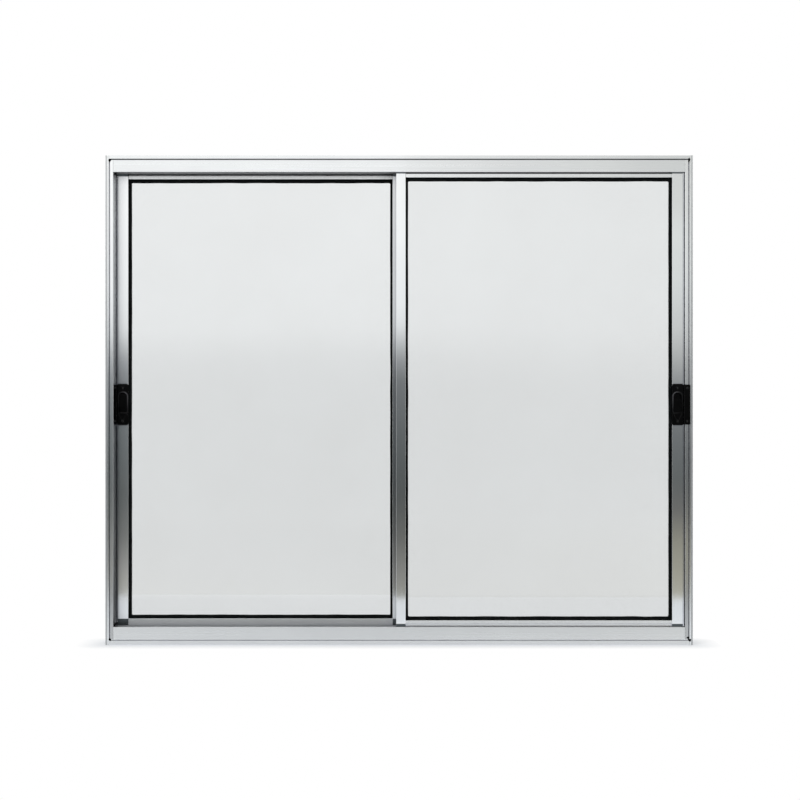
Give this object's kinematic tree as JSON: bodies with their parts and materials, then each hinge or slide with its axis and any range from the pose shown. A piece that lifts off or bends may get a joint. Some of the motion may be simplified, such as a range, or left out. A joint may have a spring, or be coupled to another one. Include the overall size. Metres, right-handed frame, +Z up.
{
  "type": "horizontal sliding window",
  "caption": "Horizontal sliding window: aluminium frame with a front and a rear leaf in separate tracks, gasket-set glass and thumb latches on the outer stiles.",
  "frame": {"origin": "middle of the sill's flat underside, halfway through the frame's depth", "axes": "+X to the right as seen from the room, +Y from the room to the outside, +Z up"},
  "size_m": [1.2, 0.066, 1],
  "materials": {
    "aluminium": "satin natural anodised",
    "glass": "clear float",
    "rubber": "matte black",
    "black_plastic": "moulded, fine grain",
    "grey_plastic": "nylon",
    "pile": "brush pile",
    "steel": "zinc plated"
  },
  "bodies": {
    "root": {"frame_head": "aluminium", "frame_sill": "aluminium", "frame_jamb_left": "aluminium", "frame_jamb_right": "aluminium", "left_sash_outer_stile": "aluminium", "left_sash_meeting_stile": "aluminium", "left_sash_top_rail": "aluminium", "left_sash_bottom_rail": "aluminium", "left_sash_glass": "glass", "left_sash_gasket": "rubber", "left_sash_roller_housings": "grey_plastic", "left_sash_rollers": "grey_plastic", "left_sash_top_guides": "grey_plastic", "left_sash_pile_seals": "pile", "left_latch_case": "black_plastic", "left_latch_trigger": "black_plastic", "left_latch_hook": "steel", "left_latch_keeper": "black_plastic", "right_sash_outer_stile": "aluminium", "right_sash_meeting_stile": "aluminium", "right_sash_top_rail": "aluminium", "right_sash_bottom_rail": "aluminium", "right_sash_glass": "glass", "right_sash_gasket": "rubber", "right_sash_roller_housings": "grey_plastic", "right_sash_rollers": "grey_plastic", "right_sash_top_guides": "grey_plastic", "right_sash_pile_seals": "pile", "right_latch_case": "black_plastic", "right_latch_trigger": "black_plastic", "right_latch_hook": "steel", "right_latch_keeper": "black_plastic"}
  },
  "joints": []
}
